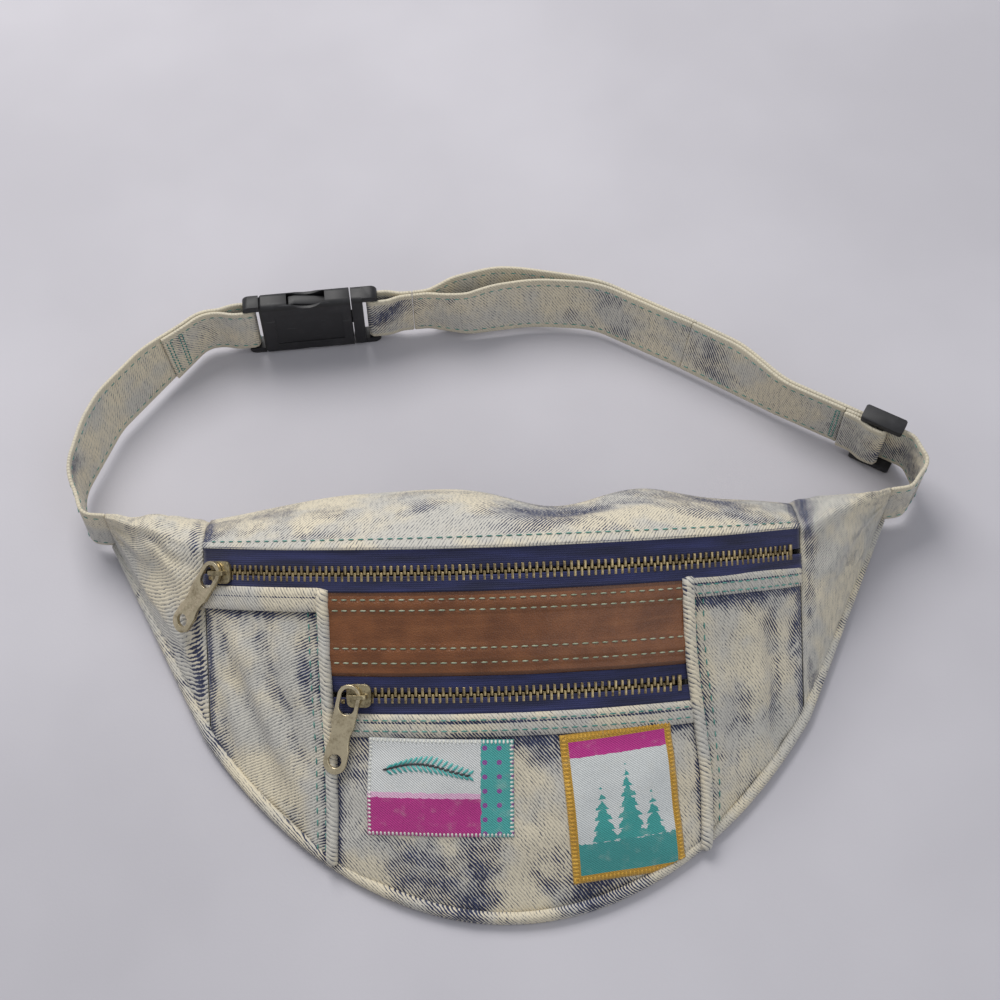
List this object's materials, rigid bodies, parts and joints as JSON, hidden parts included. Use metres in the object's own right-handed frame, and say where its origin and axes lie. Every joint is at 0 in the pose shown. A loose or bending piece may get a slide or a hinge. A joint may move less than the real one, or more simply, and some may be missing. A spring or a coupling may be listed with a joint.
{
  "type": "waist pack",
  "caption": "Denim waist pack with a curved metal zip, a leather band, a zipped front pocket and a buckled webbing belt.",
  "frame": {"origin": "centre of the floor face of the back panel, on which the pack lies", "axes": "+X to the pack's right along the zips, +Y from the front pocket towards the belt, +Z out of the back panel, up as the pack lies"},
  "size_m": [0.3486, 0.2775, 0.0755],
  "materials": {
    "washed_denim": "acid-washed twill",
    "pale_denim": "twill",
    "leather": "satin",
    "zip_tape": "woven",
    "zip_teeth": "antique",
    "lining": "woven",
    "patch_left": "stitched",
    "patch_right": "stitched",
    "zip_slider": "antique",
    "zip_pull": "worn",
    "buckle_plastic": "matte"
  },
  "bodies": {
    "pack": {"back_panel": "washed_denim", "top_panel": "washed_denim", "left_side_panel": "washed_denim", "right_side_panel": "washed_denim", "left_side_hem": "pale_denim", "right_side_hem": "pale_denim", "left_pocket_fold": "pale_denim", "right_pocket_fold": "pale_denim", "pocket_panel": "washed_denim", "pocket_hem": "pale_denim", "leather_band": "leather", "main_zip_tape_rear": "zip_tape", "main_zip_tape_front": "zip_tape", "main_zip_teeth_rear": "zip_teeth", "main_zip_teeth_front": "zip_teeth", "main_zip_stops": "zip_teeth", "pocket_zip_tape_upper": "zip_tape", "pocket_zip_tape_lower": "zip_tape", "pocket_zip_teeth_upper": "zip_teeth", "pocket_zip_teeth_lower": "zip_teeth", "pocket_zip_stops": "zip_teeth", "pocket_lining": "lining", "patch_left": "patch_left", "patch_right": "patch_right", "left_wing": "washed_denim", "right_wing": "washed_denim"},
    "main_slider": {"main_slider": "zip_slider"},
    "main_pull": {"main_pull": "zip_pull"},
    "pocket_slider": {"pocket_slider": "zip_slider"},
    "pocket_pull": {"pocket_pull": "zip_pull"},
    "belt": {"left_strap": "washed_denim", "buckle_female": "buckle_plastic", "adjust_strap": "washed_denim", "adjust_strap_return": "washed_denim"},
    "buckle_male": {"buckle_male": "buckle_plastic", "male_strap_loop": "washed_denim"},
    "arm_upper": {"buckle_arm_upper": "buckle_plastic"},
    "arm_lower": {"buckle_arm_lower": "buckle_plastic"},
    "triglide": {"triglide": "buckle_plastic", "adjuster_loop": "washed_denim"}
  },
  "joints": [
    {"name": "main_zip_slide", "type": "hinge", "parent": "pack", "child": "main_slider", "pos_m": [0, 0.13076, -0.08315], "axis": [0, 0.8387, 0.5446], "range_deg": [0, 69.9], "deforming": ["main_zip_teeth_rear", "main_zip_teeth_front"]},
    {"name": "main_pull_swing", "type": "hinge", "parent": "main_slider", "child": "main_pull", "pos_m": [-0.11102, 0.04899, 0.04276], "axis": [-0.5807, -0.4434, 0.6828], "range_deg": [-109, 70]},
    {"name": "pocket_zip_slide", "type": "hinge", "parent": "pack", "child": "pocket_slider", "pos_m": [0, 0.13076, -0.08315], "axis": [0, 0.8387, 0.5446], "range_deg": [0, 34.9], "deforming": ["pocket_zip_teeth_upper", "pocket_zip_teeth_lower"]},
    {"name": "pocket_pull_swing", "type": "hinge", "parent": "pocket_slider", "child": "pocket_pull", "pos_m": [-0.05858, -0.00355, 0.04104], "axis": [-0.2974, -0.52, 0.8007], "range_deg": [-135, 45]},
    {"name": "belt_lift", "type": "hinge", "parent": "pack", "child": "belt", "pos_m": [0, 0.084, 0.0165], "axis": [1, 0, 0], "range_deg": [0, 90]},
    {"name": "buckle_slide", "type": "slide", "parent": "belt", "child": "buckle_male", "axis": [0.9972, 0.075, 0], "range_m": [0, 0.034], "deforming": ["adjust_strap", "adjust_strap_return", "buckle_arm_upper", "buckle_arm_lower"]},
    {"name": "arm_upper_pinch", "type": "hinge", "parent": "buckle_male", "child": "arm_upper", "pos_m": [-0.06344, 0.18729, 0.026], "axis": [-0.075, 0.9972, 0], "range_deg": [-9, 0], "stiffness_Nm_per_rad": 0.4},
    {"name": "arm_lower_pinch", "type": "hinge", "parent": "buckle_male", "child": "arm_lower", "pos_m": [-0.06344, 0.18729, 0.007], "axis": [-0.075, 0.9972, 0], "range_deg": [0, 9], "stiffness_Nm_per_rad": 0.4},
    {"name": "triglide_slide", "type": "slide", "parent": "belt", "child": "triglide", "axis": [-0.8572, 0.515, 0], "range_m": [0, 0.025], "deforming": ["adjust_strap_return"]}
  ]
}
